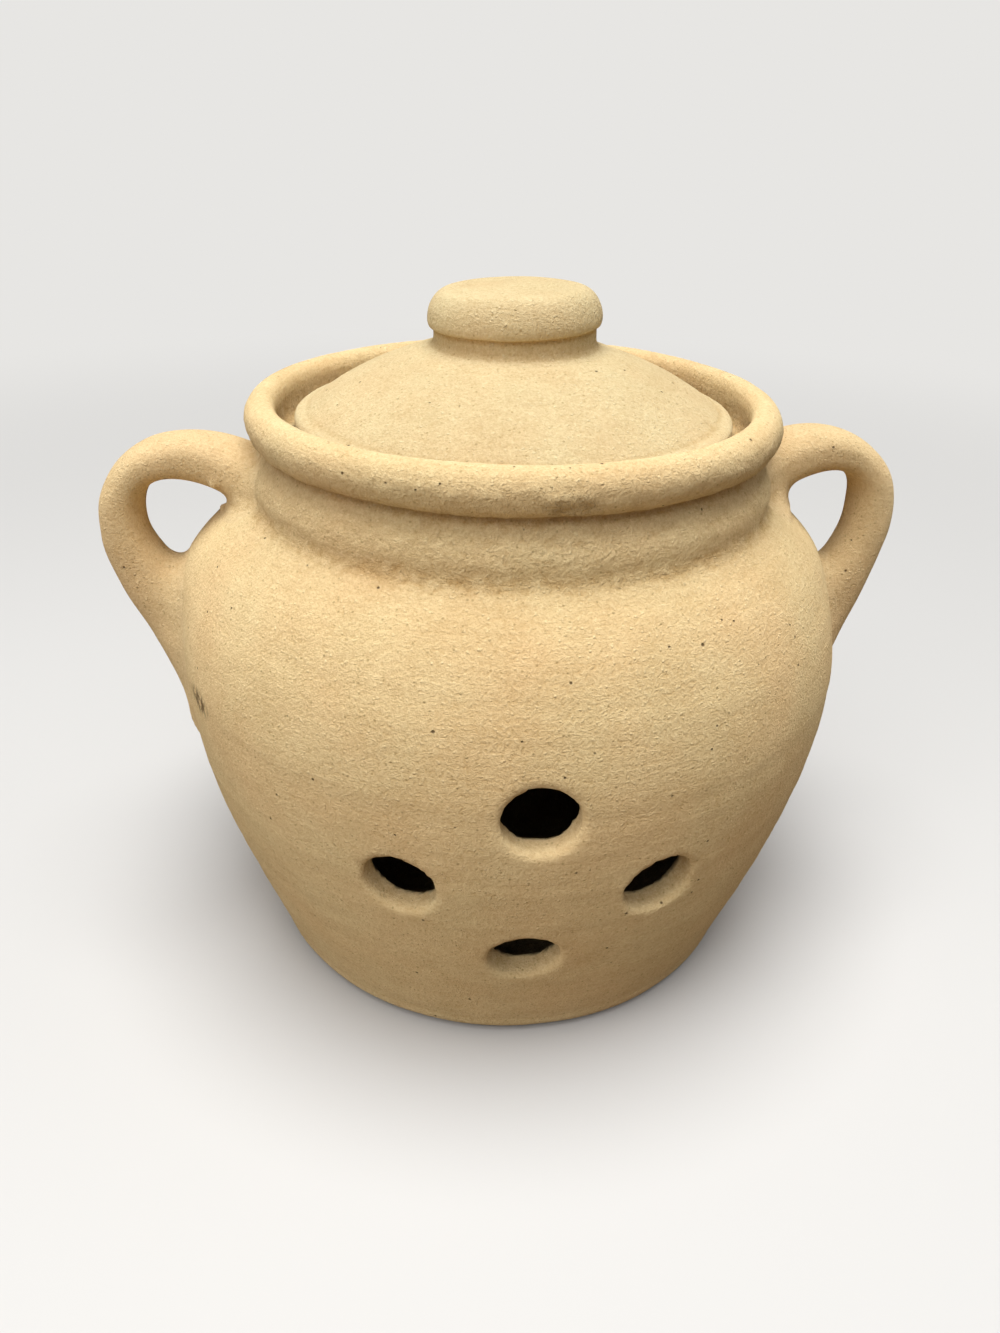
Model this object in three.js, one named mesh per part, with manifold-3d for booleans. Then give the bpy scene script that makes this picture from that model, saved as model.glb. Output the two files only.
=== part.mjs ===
// Garlic keeper: a thrown pot with a rolled rim, vents and two pulled handles, and a domed lid with a knob.
// Millimetres, +Z up. The origin is the centre of the foot.
// The vents face -Y and the handles lie on +X and -X.
import * as THREE from 'three';
import { mergeVertices } from 'three/addons/utils/BufferGeometryUtils.js';
import Module from 'manifold-3d';

const wasm = await Module();
wasm.setup();

// Fit between pieces
const seatGap = 0.3;
const overrun = 6;

// Pot, outside
const footRadius = 54.5;
const footEdgeRadius = 59.3;
const footEdgeHeight = 5;
const bellyRadius = 74.6;
const bellyHeight = 72;
const shoulderRadius = 57;
const shoulderHeight = 107.9;
const grooveRadius = 55.8;
const grooveHeight = 109.5;
const bandRadius = 55.8;
const bandHeight = 113.8;
const creaseRadius = 52.4;
const creaseHeight = 119.9;

// Pot, rim and the gallery that the lid sits in
const rimRadius = 56.5;
const rimBulgeHeight = 125;
const rimTopRadius = 52.5;
const rimHeight = 129.6;
const rimInnerHeight = 126.4;
const galleryRadius = 49.6;
const ledgeHeight = 120.6;
const ledgeThickness = 4.6;
const ledgeFillet = 1.6;
const mouthRadius = 42.5;
const mouthEdge = 1.4;

// Pot, inside
const wallThickness = 5.8;
const floorThickness = 7;
const floorCorner = 7;

// Vents: four holes in a leaning diamond
const ventRadius = 7.4;
const ventEdge = 1.5;
const ventCentreHeight = 51.4;
const ventRise = 19.5;
const ventSpread = 26.6;
const ventLeanDegrees = 2.2;
const ventTurnDegrees = -1.2;

// Handles, in the upright plane through both: drops are from the crease, the tail's is from the belly
const handleRootSink = 0.9;
const handleRootDrop = 3;
const handleRootDepth = 15.3;
const leftHandleStandoff = 15.6;
const rightHandleStandoff = 13.9;
const handleReachDrop = 20.8;
const leftHandleThickness = 10.2;
const rightHandleThickness = 9.7;
const loopReachDrop = 17.8;
const leftTailDrop = 15;
const rightTailDrop = 21.5;
const tailSink = 0.7;
const tailDepth = 12.5;
const tailRise = 7;
const handleWidth = 14.4;
const handleRootWidth = 21;
const handleTailWidth = 19;
const leftHandleLift = 0;
const rightHandleLift = 0.9;

// Lid
const lidRadius = 46.4;
const lidEdgeHeight = 3.6;
const lidRimRadius = 43.6;
const lidRimRise = 5.2;
const lidRimTurnDegrees = 75;
const lidThickness = 4.8;
const lidCornerRadius = 0.9;
const flangeWidth = 6.4;
const domeRise = 17.4;
const domeSeatRadius = 18.4;

// Knob
const neckRadius = 17;
const neckFlare = 0.7;
const neckHeight = 3.7;
const knobLowRadius = 17.9;
const knobRadius = 18.2;
const knobChamferHeight = 1.4;
const knobHeight = 7.6;
const knobCornerWidth = 4.8;
const knobTurnDegrees = 80;
const knobCrown = 0.4;

// Curves: each control point's place from its end, across and up, in shares of the ends' distance
const lowerWallShares = [[0.108, 0.342], [0, -0.347]];
const shoulderWallShares = [[0, 0.409], [0.226, -0.137]];
const outerRiseShares = [[0.389, 0.211], [0, 0.515]];
const outerFallShares = [[0.011, -0.191], [0.185, 0.329]];
const innerRiseShares = [[0.455, 0.43], [0.012, 0.512]];
const innerFallShares = [[0.004, -0.208], [0.295, 0.672]];
const domeShares = [[-0.18, 0.157], [0.36, -0.113]];
const rootFlareShare = 0.2;
const tailFlareShare = 0.4;

// Facets
const turns = 56;
const knobTurns = 40;
const ventSides = 24;
const handleSides = 16;
const handleSteps = 12;
const wallSteps = 6;
const neckSteps = 7;
const arcSteps = 4;
const cornerSteps = 2;
const knobSteps = 6;

const clayMaterial = (color) => new THREE.MeshStandardMaterial({ color, roughness: 0.9, metalness: 0 });

// A cubic curve between two points; the shares of its length place a control point beside each end
function curve(from, to, shares, steps) {
  const span = from.distanceTo(to);
  const [leave, arrive] = [from, to].map((end, i) => new THREE.Vector2(...shares[i])
    .multiplyScalar(span)
    .add(end));
  return new THREE.CubicBezierCurve(from, leave, arrive, to).getPoints(steps);
}

// A stretch of an ellipse, in degrees from the outward direction towards the top
function arc(x, y, acrossRadius, upRadius, startDegrees, endDegrees, steps = arcSteps) {
  return Array.from({ length: steps + 1 }, (_, i) => {
    const angle = THREE.MathUtils.degToRad(startDegrees + ((endDegrees - startDegrees) * i) / steps);
    return new THREE.Vector2(x + acrossRadius * Math.cos(angle), y + upRadius * Math.sin(angle));
  });
}

// Moves an outline sideways, to its right as it is walked when the distance is positive
function offset(points, distance) {
  return points.map((point, i) => {
    const before = points[Math.max(i - 1, 0)];
    const after = points[Math.min(i + 1, points.length - 1)];
    const along = after.clone().sub(before).normalize();
    return new THREE.Vector2(point.x + along.y * distance, point.y - along.x * distance);
  });
}

// A closed solid from a geometry, with shared vertices merged and empty triangles dropped
function solid(geometry) {
  const bare = geometry.clone();
  bare.deleteAttribute('normal');
  bare.deleteAttribute('uv');
  const merged = mergeVertices(bare);
  const index = merged.index.array;
  const kept = [];
  for (let i = 0; i < index.length; i += 3) {
    const [a, b, c] = index.slice(i, i + 3);
    if (a !== b && b !== c && c !== a) kept.push(a, b, c);
  }
  return new wasm.Manifold(new wasm.Mesh({
    numProp: 3,
    vertProperties: merged.attributes.position.array,
    triVerts: new Uint32Array(kept),
  }));
}

// A geometry from a solid
function geometryOf(manifold) {
  const mesh = manifold.getMesh();
  const geometry = new THREE.BufferGeometry();
  geometry.setAttribute('position', new THREE.BufferAttribute(mesh.vertProperties, 3));
  geometry.setIndex(new THREE.BufferAttribute(mesh.triVerts, 1));
  geometry.computeVertexNormals();
  return geometry;
}

// Turns an outline about the vertical axis; it runs from the axis, up the outside, and back to the axis
function turned(outline, segments = turns) {
  const lathe = new THREE.LatheGeometry(outline, segments);
  lathe.rotateX(Math.PI / 2);
  return solid(lathe);
}

// The pot's wall outside, from the foot up to the top of the rim
function potOutside() {
  const footEdge = new THREE.Vector2(footEdgeRadius, footEdgeHeight);
  const belly = new THREE.Vector2(bellyRadius, bellyHeight);
  const shoulder = new THREE.Vector2(shoulderRadius, shoulderHeight);
  const footRound = arc(footRadius, footEdgeHeight, footEdgeRadius - footRadius, footEdgeHeight, -90, 0);
  const bulgeWidth = rimRadius - creaseRadius;
  const bulgeDrop = rimBulgeHeight - creaseHeight;
  const topWidth = rimRadius - rimTopRadius;
  const topRise = rimHeight - rimBulgeHeight;
  const neck = new THREE.SplineCurve([
    shoulder,
    new THREE.Vector2(grooveRadius, grooveHeight),
    new THREE.Vector2(bandRadius, bandHeight),
    new THREE.Vector2(creaseRadius, creaseHeight),
  ]).getPoints(neckSteps);
  return [
    ...footRound,
    ...curve(footEdge, belly, lowerWallShares, wallSteps).slice(1),
    ...curve(belly, shoulder, shoulderWallShares, wallSteps).slice(1),
    ...neck.slice(1),
    ...arc(creaseRadius, rimBulgeHeight, bulgeWidth, bulgeDrop, -90, 0).slice(1),
    ...arc(rimTopRadius, rimBulgeHeight, topWidth, topRise, 0, 90).slice(1),
  ];
}

// The pot's wall inside, from the rim down past the ledge to the middle of the floor
function potInside() {
  const footEdge = new THREE.Vector2(footEdgeRadius, footEdgeHeight);
  const belly = new THREE.Vector2(bellyRadius, bellyHeight);
  const shoulder = new THREE.Vector2(shoulderRadius, shoulderHeight);
  const outside = [
    ...curve(footEdge, belly, lowerWallShares, wallSteps),
    ...curve(belly, shoulder, shoulderWallShares, wallSteps).slice(1),
  ];
  const cornerTop = floorThickness + floorCorner;
  const wall = offset(outside, -wallThickness).filter((point) => point.y > cornerTop).reverse();
  const cornerRadius = wall[wall.length - 1].x - (wall[wall.length - 1].y - cornerTop) * lowerWallSlope();
  const lipWidth = rimTopRadius - galleryRadius;
  const lipRise = rimHeight - rimInnerHeight;
  return [
    ...arc(rimTopRadius, rimInnerHeight, lipWidth, lipRise, 90, 180).slice(1),
    ...arc(galleryRadius - ledgeFillet, ledgeHeight + ledgeFillet, ledgeFillet, ledgeFillet, 0, -90),
    ...arc(mouthRadius + mouthEdge, ledgeHeight - mouthEdge, mouthEdge, mouthEdge, 90, 180),
    new THREE.Vector2(mouthRadius, ledgeHeight - ledgeThickness),
    ...wall,
    ...arc(cornerRadius - floorCorner, cornerTop, floorCorner, floorCorner, 0, -90),
    new THREE.Vector2(0, floorThickness),
  ];
}

// How far the lower wall leans out for each unit that it climbs, where it leaves the foot
function lowerWallSlope() {
  const [[across, up]] = lowerWallShares;
  return across / up;
}

// The pot's radius outside at a height
function potRadiusAt(height) {
  const outside = potOutside();
  const above = outside.findIndex((point) => point.y >= height);
  const low = outside[above - 1];
  const high = outside[above];
  return low.x + ((high.x - low.x) * (height - low.y)) / (high.y - low.y);
}

// One vent's cutter: a cylinder through the wall, square to it, that flares at the wall's face
function ventCutter(aside, up) {
  const height = ventCentreHeight + up;
  const radius = potRadiusAt(height);
  const reach = radius - potRadiusAt(height - ventRadius);
  const lean = Math.atan2(reach, ventRadius);
  const flare = arc(ventRadius + ventEdge, -ventEdge, ventEdge, ventEdge, 180, 90);
  const outline = [
    new THREE.Vector2(0, -wallThickness - overrun),
    new THREE.Vector2(ventRadius, -wallThickness - overrun),
    ...flare,
    new THREE.Vector2(ventRadius + ventEdge, overrun),
    new THREE.Vector2(0, overrun),
  ];
  const cutter = new THREE.LatheGeometry(outline, ventSides);
  cutter.rotateX(Math.PI + lean);
  cutter.translate(0, -radius, height);
  cutter.rotateZ(aside / bellyRadius + THREE.MathUtils.degToRad(ventTurnDegrees));
  return solid(cutter);
}

function potBody() {
  let pot = turned([new THREE.Vector2(0, 0), ...potOutside(), ...potInside()]);
  const lean = THREE.MathUtils.degToRad(ventLeanDegrees);
  const places = [[0, ventRise], [ventSpread, 0], [0, -ventRise], [-ventSpread, 0]];
  for (const [aside, up] of places) {
    const turnedAside = aside * Math.cos(lean) + up * Math.sin(lean);
    const turnedUp = up * Math.cos(lean) - aside * Math.sin(lean);
    pot = pot.subtract(ventCutter(turnedAside, turnedUp));
  }
  return geometryOf(pot);
}

// Both outlines of a handle in its own upright plane, walked from the neck round to inside the belly
function handleOutlines({ lift, standoff, thickness, tailDrop }) {
  const crease = creaseHeight + lift;
  const rootRadius = bandRadius - handleRootSink;
  const reach = bellyRadius + standoff;
  const tailHeight = bellyHeight - tailDrop;
  const tailRadius = potRadiusAt(tailHeight) - tailSink;
  const outerRoot = new THREE.Vector2(rootRadius, crease - handleRootDrop);
  const outerReach = new THREE.Vector2(reach, crease - handleReachDrop);
  const outerTail = new THREE.Vector2(tailRadius, tailHeight);
  const innerRoot = new THREE.Vector2(rootRadius, crease - handleRootDrop - handleRootDepth);
  const innerReach = new THREE.Vector2(reach - thickness, crease - loopReachDrop);
  const innerTail = new THREE.Vector2(tailRadius - tailDepth, tailHeight + tailRise);
  const outer = [
    ...curve(outerRoot, outerReach, outerRiseShares, handleSteps),
    ...curve(outerReach, outerTail, outerFallShares, handleSteps).slice(1),
  ];
  const inner = [
    ...curve(innerRoot, innerReach, innerRiseShares, handleSteps),
    ...curve(innerReach, innerTail, innerFallShares, handleSteps).slice(1),
  ];
  return [outer, inner];
}

// A handle's width at a share of its length: it spreads at the root and again down the tail
function handleWidthAt(place) {
  const root = Math.max(0, 1 - place / rootFlareShare);
  const tail = Math.max(0, 1 - (1 - place) / tailFlareShare);
  const rootSpread = (handleRootWidth - handleWidth) * root ** 2;
  const tailSpread = (handleTailWidth - handleWidth) * tail ** 2;
  return handleWidth + rootSpread + tailSpread;
}

// The two pulled handles differ in height, reach, thickness and in how far down the belly they end
const leftHandleShape = {
  lift: leftHandleLift,
  standoff: leftHandleStandoff,
  thickness: leftHandleThickness,
  tailDrop: leftTailDrop,
};
const rightHandleShape = {
  lift: rightHandleLift,
  standoff: rightHandleStandoff,
  thickness: rightHandleThickness,
  tailDrop: rightTailDrop,
};

// The pot filled in and grown by the seat gap, which trims a handle's ends to the wall
function trimmingCore() {
  const grown = offset(potOutside(), seatGap);
  return turned([
    new THREE.Vector2(0, grown[0].y),
    ...grown,
    new THREE.Vector2(0, grown[grown.length - 1].y),
  ]);
}

function handle(shape) {
  const [outer, inner] = handleOutlines(shape);
  const last = outer.length - 1;
  const positions = [];
  outer.forEach((outerPoint, i) => {
    const middle = outerPoint.clone().add(inner[i]).multiplyScalar(0.5);
    const half = outerPoint.clone().sub(middle);
    const width = handleWidthAt(i / last) / 2;
    for (let side = 0; side < handleSides; side += 1) {
      const angle = (2 * Math.PI * side) / handleSides;
      const across = Math.cos(angle);
      positions.push(middle.x + half.x * across, width * Math.sin(angle), middle.y + half.y * across);
    }
  });
  for (const end of [0, last]) {
    const middle = outer[end].clone().add(inner[end]).multiplyScalar(0.5);
    positions.push(middle.x, 0, middle.y);
  }
  const index = [];
  for (let ring = 0; ring < last; ring += 1) {
    for (let side = 0; side < handleSides; side += 1) {
      const a = ring * handleSides + side;
      const b = ring * handleSides + ((side + 1) % handleSides);
      index.push(a, a + handleSides, b, b, a + handleSides, b + handleSides);
    }
  }
  const caps = (last + 1) * handleSides;
  for (let side = 0; side < handleSides; side += 1) {
    const next = (side + 1) % handleSides;
    index.push(caps, side, next);
    index.push(caps + 1, last * handleSides + next, last * handleSides + side);
  }
  const geometry = new THREE.BufferGeometry();
  geometry.setAttribute('position', new THREE.Float32BufferAttribute(positions, 3));
  geometry.setIndex(index);
  return geometryOf(solid(geometry).subtract(trimmingCore()));
}

const lidBottom = ledgeHeight + seatGap;
const domeTop = lidBottom + domeRise;

// The lid's dome outside, from its rolled edge up to the knob's seat
function domeOutside() {
  const edge = new THREE.Vector2(lidRimRadius, lidBottom + lidRimRise);
  const seat = new THREE.Vector2(domeSeatRadius, domeTop);
  return curve(edge, seat, domeShares, wallSteps);
}

function lid() {
  const edgeTop = lidBottom + lidEdgeHeight;
  const corner = lidCornerRadius;
  const dome = domeOutside();
  const flangeInner = lidRadius - flangeWidth;
  const under = offset(dome, -lidThickness).filter((point) => point.x < flangeInner).reverse();
  const outline = [
    new THREE.Vector2(0, domeTop - lidThickness),
    ...under,
    new THREE.Vector2(flangeInner, lidBottom),
    ...arc(lidRadius - corner, lidBottom + corner, corner, corner, -90, 0, cornerSteps),
    ...arc(lidRimRadius, edgeTop, lidRadius - lidRimRadius, lidRimRise - lidEdgeHeight, 0, lidRimTurnDegrees),
    ...dome.slice(1),
    new THREE.Vector2(0, domeTop),
  ];
  return geometryOf(turned(outline));
}

function knob() {
  const bottom = domeTop + seatGap;
  const low = bottom + neckHeight;
  const top = low + knobHeight;
  const cornerRise = knobHeight - knobChamferHeight;
  const middle = new THREE.Vector2(knobRadius - knobCornerWidth, top - cornerRise);
  const topCorner = arc(middle.x, middle.y, knobCornerWidth, cornerRise, 0, knobTurnDegrees, knobSteps);
  const outline = [
    new THREE.Vector2(0, bottom),
    new THREE.Vector2(neckRadius + neckFlare, bottom),
    new THREE.Vector2(neckRadius, bottom + neckFlare),
    new THREE.Vector2(neckRadius, low),
    new THREE.Vector2(knobLowRadius, low),
    ...topCorner,
    new THREE.Vector2(0, top + knobCrown),
  ];
  return geometryOf(turned(outline, knobTurns));
}

function piece(name, geometry, colour) {
  const mesh = new THREE.Mesh(geometry, clayMaterial(colour));
  mesh.name = name;
  return mesh;
}

const keeper = new THREE.Group();
keeper.add(piece('pot_body', potBody(), 0xd8b987));
keeper.add(piece('right_handle', handle(rightHandleShape), 0xdcbe8d));
const leftHandle = piece('left_handle', handle(leftHandleShape), 0xdcbe8d);
leftHandle.rotation.z = Math.PI;
keeper.add(leftHandle);

const cover = new THREE.Group();
cover.add(piece('lid', lid(), 0xe0c292));
cover.add(piece('lid_knob', knob(), 0xe6c99a));
keeper.add(cover);

export default keeper;
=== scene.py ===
import math

import bpy
import numpy as np
from mathutils import Matrix, Vector


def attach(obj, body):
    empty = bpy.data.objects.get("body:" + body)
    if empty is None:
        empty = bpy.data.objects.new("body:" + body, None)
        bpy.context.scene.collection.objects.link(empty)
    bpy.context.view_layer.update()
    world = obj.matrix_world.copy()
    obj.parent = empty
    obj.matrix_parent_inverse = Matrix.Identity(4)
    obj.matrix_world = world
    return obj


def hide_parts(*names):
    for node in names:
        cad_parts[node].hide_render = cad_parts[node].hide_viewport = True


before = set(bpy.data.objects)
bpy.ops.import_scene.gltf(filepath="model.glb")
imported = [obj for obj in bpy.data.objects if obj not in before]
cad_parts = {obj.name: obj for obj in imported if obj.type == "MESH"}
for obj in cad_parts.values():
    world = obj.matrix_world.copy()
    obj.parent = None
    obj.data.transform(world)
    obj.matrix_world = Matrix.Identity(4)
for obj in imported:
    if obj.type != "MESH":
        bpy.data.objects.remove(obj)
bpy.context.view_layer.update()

MM = 0.001

# Camera
FRAME_WIDTH_PX = 1000
FRAME_HEIGHT_PX = 1333
FOCAL_PX = 1001
SENSOR = 36
CAMERA_PLACE = (-22.40, -213.16, 181.36)
CAMERA_YAW = math.radians(5.562)
CAMERA_PITCH = math.radians(29.197)
CAMERA_ROLL = math.radians(1.246)

# Colours
BODY_BASE = (0.745, 0.57, 0.302)
HANDLE_BASE = (0.74, 0.562, 0.304)
# Lid and knob: the body's clay made darker and less saturated, painted shade that tones down their brightly
# lit tops
LID_SHADED_BASE = (0.66, 0.53, 0.296)
WARM_SHARES = (1.01, 0.955, 0.93)
GRAIN_SHARES = (0.7, 1.0, 1.4)
GRAIN_DARK = (0.32, 0.19, 0.05, 1)
SPECK_DARK = (0.12, 0.068, 0.028, 1)
# Share of the base colour left in the pot's store: painted shade that darkens the clay inside
STORE_PAINTED_SHADE = 0.32

# Light and floor: each lamp's degrees to the side, degrees up, and watts; sizes are in metres
LAMPS = (
    ("overhead", 0, 85, 16.8), ("upper_left", -30, 55, 4.9), ("left", -60, 15, 3.3), ("right", 90, 35, 1.6),
    ("front", 8, 40, 1.8),
)
LAMP_SIZE, LAMP_DISTANCE, LAMP_AIM_Z = 0.9, 1.2, 0.07
CLIP_START = 0.01
WORLD_LIGHT = 0.04
PALE = (0.80, 0.79, 0.77, 1)
FLOOR_SIZE = 12.0
FLOOR_SEEN = (0.64, 0.632, 0.616, 1)
FLOOR_BOUNCE = (0.22, 0.155, 0.095, 1)
FLOOR_FADE_START, FLOOR_FADE_END = 0.12, 0.75

# Pot, outside
FOOT_R, FOOT_EDGE_R, FOOT_EDGE_Z = 54.5, 59.3, 5.0
BELLY_R, BELLY_Z = 74.6, 72.0
SHOULDER_R, SHOULDER_Z = 57.0, 107.9
GROOVE_R, GROOVE_Z = 56.0, 109.5
BAND_R, BAND_Z = 55.8, 113.8
CREASE_R, CREASE_Z = 52.4, 119.9
LOWER_WALL_SHARES = ((0.108, 0.342), (0.0, -0.347))
SHOULDER_WALL_SHARES = ((0.0, 0.409), (0.226, -0.137))

# Pot, rim, gallery and inside
RIM_R, RIM_BULGE_Z = 56.5, 125.0
RIM_TOP_R, RIM_TOP_Z, RIM_INNER_Z = 52.5, 129.6, 126.4
GALLERY_R, LEDGE_Z, LEDGE_THICK, LEDGE_FILLET = 49.6, 120.6, 4.6, 1.6
MOUTH_R, MOUTH_EDGE = 42.5, 1.4
WALL, FLOOR_THICK, FLOOR_CORNER = 5.8, 7.0, 7.0

# Vents, cut with a knife that leaves flats towards the inside
VENT_R, VENT_EDGE = 7.4, 0.9
VENT_CENTRE_Z, VENT_RISE, VENT_SPREAD = 51.4, 19.5, 26.6
VENT_LEAN, VENT_TURN = math.radians(2.2), math.radians(-1.2)
VENT_OVERRUN = 6.0
KNIFE_CUTS, CUT_SEED, CUT_JITTER, CUT_OUTER_SHARE, CUT_INNER_SHARE = 7, 4, 0.25, 1.03, 0.955

# Handles: -1 is the left one and 1 the right one
ROOT_SINK, ROOT_DROP, ROOT_DEPTH = 0.9, 3.0, 15.3
STANDOFFS = {-1: 15.6, 1: 13.9}
THICKNESSES = {-1: 10.2, 1: 9.7}
TAIL_DROPS = {-1: 15.0, 1: 21.5}
REACH_DROP, LOOP_DROP = 20.8, 17.8
TAIL_SINK, TAIL_DEPTH, TAIL_RISE = 0.7, 12.5, 7.0
HANDLE_W, ROOT_W, TAIL_W = 14.4, 21.0, 19.0
ROOT_FLARE_SHARE, TAIL_FLARE_SHARE = 0.2, 0.4
LIFTS = {-1: 0.0, 1: 0.9}
OUTER_RISE_SHARES = ((0.389, 0.211), (0.0, 0.515))
OUTER_FALL_SHARES = ((0.011, -0.191), (0.185, 0.329))
INNER_RISE_SHARES = ((0.455, 0.43), (0.012, 0.512))
INNER_FALL_SHARES = ((0.004, -0.208), (0.295, 0.672))
HANDLE_SQUARENESS = 2.3
ROOT_OVERRUN, HALF_LEAST = 6.0, 1.0
PULL_LENGTH, PULL_DEPTH, PULL_WAVES, PULL_SEED = 13.0, 0.45, 12, 8

# Where a handle meets the pot: the blend's reach at some heights, and the clay smeared below it as thickness,
# height and half its own height
FILLET_HEIGHTS = (70, 90, 98, 105, 113)
FILLETS = {-1: (9.0, 7.4, 3.7, 7.0, 4.0), 1: (8.0, 6.3, 3.7, 10.2, 6.0)}
SMEARS = {-1: (2.85, 92.9, 15.7), 1: (1.9, 93.9, 13.1)}
SMEAR_HALF_WIDTH = 15.0
SKIN_DEPTH = 1.8
EDGE_SINK, EDGE_ROUND, EDGE_SHARE = 0.25, 1.5, 0.6

# Lid and knob
SEAT_GAP = 0.3
LID_BOTTOM = LEDGE_Z + SEAT_GAP
LID_R, LID_EDGE_H, LID_RIM_R, LID_RIM_RISE = 46.4, 3.6, 43.6, 5.2
LID_RIM_TURN = 75
LID_THICK, LID_CORNER, FLANGE_W, DOME_RISE, DOME_SEAT_R = 4.8, 0.9, 6.4, 17.4, 18.4
DOME_SHARES = ((-0.18, 0.157), (0.36, -0.113))
DOME_TOP = LID_BOTTOM + DOME_RISE
KNOB_BOTTOM = DOME_TOP + SEAT_GAP
NECK_R, NECK_H = 17.0, 3.7
KNOB_LOW_R, KNOB_R, KNOB_CHAMFER, KNOB_H, KNOB_CORNER, KNOB_CROWN = 17.9, 18.2, 1.4, 7.6, 4.8, 0.4
KNOB_TURN = 80
KNOB_SINK, KNOB_FILLET, KNOB_TILT = 3.0, 2.4, math.radians(-1.6)

# Relief of the thrown clay: lengths from ring to ring and lump to lump, and their depths; *_WAVES are a count
# and a seed
RING_LENGTHS = (3.4, 5.1, 7.3, 11.0)
RING_DEPTHS = (0.03, 0.035, 0.04, 0.05)
LUMP_LENGTH, LUMP_DEPTH, LUMP_WAVES = 34.0, 0.32, (9, 3)
DENT_LENGTH, DENT_DEPTH, DENT_WAVES = 11.0, 0.07, (14, 5)
ROUGH_LENGTH, ROUGH_DEPTH, TEAR_DEPTH, ROUGH_WAVES = 3.2, 0.22, 0.4, (24, 21)
ROUGH_LOW, ROUGH_HIGH, ROUGH_FADE = 105.0, 129.0, 4.0
RING_CLIMB, RING_PHASE = 0.35, 1.7
RING_SWAY, SWAY_LOBES, SWAY_START = 0.25, 2, 1
RING_RIPPLE, RIPPLE_LOBES = 0.4, 3
DENT_SQUASH = (1, 1, 1.6)
WAVE_SPREAD, WAVE_HEIGHT = (0.6, 1.3), 0.8
LID_RELIEF_SHARE, KNOB_RELIEF_SHARE = 0.7, 0.6

# Marks in the clay, each by its pixel in the picture and its size in millimetres
PITS = (
    (703, 645, 0.32), (722, 620, 0.2), (734, 621, 0.2), (790, 625, 0.22), (795, 637, 0.24), (433, 732, 0.3),
    (607, 948, 0.25), (440, 484, 0.2), (513, 357, 0.2), (522, 742, 0.2), (565, 778, 0.22), (395, 835, 0.2),
)
SCUFF, SCUFF_SIZE = (199, 701), (6.0, 7.5, 3.6)
TEAR, TEAR_SIZE = (573, 508), (6.5, 5.0, 3.2)
CRUMBS = {-1: ((213, 484, 0.9), (224, 508, 0.9)), 1: ()}
CRUMB_BLEND = 0.8
SIGHT_START, SIGHT_STEPS, SIGHT_SHARE = 120.0, 80, 0.7

# Mesh grids: for each axis, the ends of its stretches and the step in each stretch
POT_STEPS = (((-77, 77), (1.4,)), ((-77, -40, 77), (1.0, 2.0)), ((-2, 100, 132), (1.3, 0.85)))
HANDLE_ENDS, HANDLE_STEP = ((46, 93), (-32, 32), (38, 130)), 0.75
LID_ENDS, LID_STEP = ((-48, 48), (-48, 48), (119, 140)), 0.7
KNOB_ENDS, KNOB_STEP = ((-22, 22), (-22, 22), (134, 153)), 0.45
GRID_PARTS = 40
SETTLE_ROUNDS, SETTLE_REACH, SETTLE_SHARE = 4, 1.0, 0.6
SLOPE_REACH, SLOPE2_LEAST = 0.15, 0.05
BEND_REACH, FULL_BEND = 1.4, 0.55
# The store's painted shade fades in from WALL - STORE_START to WALL - STORE_END millimetres below the outer
# face
STORE_START, STORE_END = 1.0, 0.4

# Outlines' points and tables of distances
TABLE_STEP, SPARE = 0.5, 6
HANDLE_PLANE, NEAR_BLEND, TINY = ((44, 40), (96, 130)), 8, 0.05
POINTS_AT_ONCE, LENGTH2_LEAST = 4000, 1e-12
ARC_STEPS, CURVE_STEPS, NECK_STEPS = 24, 60, 12

# The clay's patterns: noises as (scale per millimetre, detail, roughness), how much each shades or lifts the
# clay, and ranges of a pattern that are stretched to 0 and 1
NOISES = {
    "cloud": (0.026, 3.0, 0.55),
    "patch": (0.13, 4.0, 0.6),
    "grain": (1.1, 3.0, 0.8),
    "sand": (2.4, 2.0, 0.7),
}
NOISE_LOW, NOISE_HIGH = 0.3, 0.7
SHADES = {"cloud": 0.04, "patch": 0.05, "grain": 0.13, "sand": 0.10}
DRAG_STRETCH, DRAG_NOISE, DRAG_SHADE = (0.09, 0.09, 1.5), (1.0, 3.0, 0.6), 0.04
DASH_STRETCH, DASH_NOISE, DASH_SHADE = (0.3, 0.3, 2.2), (1.0, 2.0, 0.5), 0.08
DASH_RANGE, DASH_PATCHES = (0.60, 0.70), (0.45, 0.6)
GRIT_SCALE, GRIT_SIZES = 1.15, (0.18, 0.36)
DARK_PICK, DARK_MIX = (0.86, 0.90), 0.45
LIGHT_PICK, LIGHT_SHADE = (0.72, 0.82), 0.14
IRON_SCALE, IRON_SIZES, IRON_PICK, SPECK_MIX = 0.27, (0.045, 0.085), (0.72, 0.74), 0.85
PIT_INNER, PIT_OUTER = 0.5, 1.3
# Worn outer edges are lighter; inner corners and creases are darkened with painted shade
EDGE_SHADE, CORNER_PAINTED_SHADE, CORNER_RANGE = 0.05, -0.24, (-1.0, -0.1)
WARM_NOISE, WARM_RANGE = (0.048, 2.0, 0.5), (0.35, 0.7)
CLAY_LIFTS = {"grain": 0.7, "sand": 0.35, "drag": 0.14, "dash": 0.08, "light": 0.25, "speck": -1.0}
CRUMB_NOISE = (0.7, 4.0, 0.75)
SCUFF_STRETCH, SCUFF_NOISE, SCUFF_RANGE = (0.9, 0.9, 0.4), (1.0, 3.0, 0.6), (0.42, 0.51)
SCUFF_EDGES, SCUFF_MIX = (0.25, 1.0), 0.9
FLAKE_NOISE, FLAKE_RANGE, FLAKE_EDGES, FLAKE_LIFT = (0.85, 3.0, 0.7), (0.42, 0.58), (0.4, 1.2), 0.9
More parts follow.
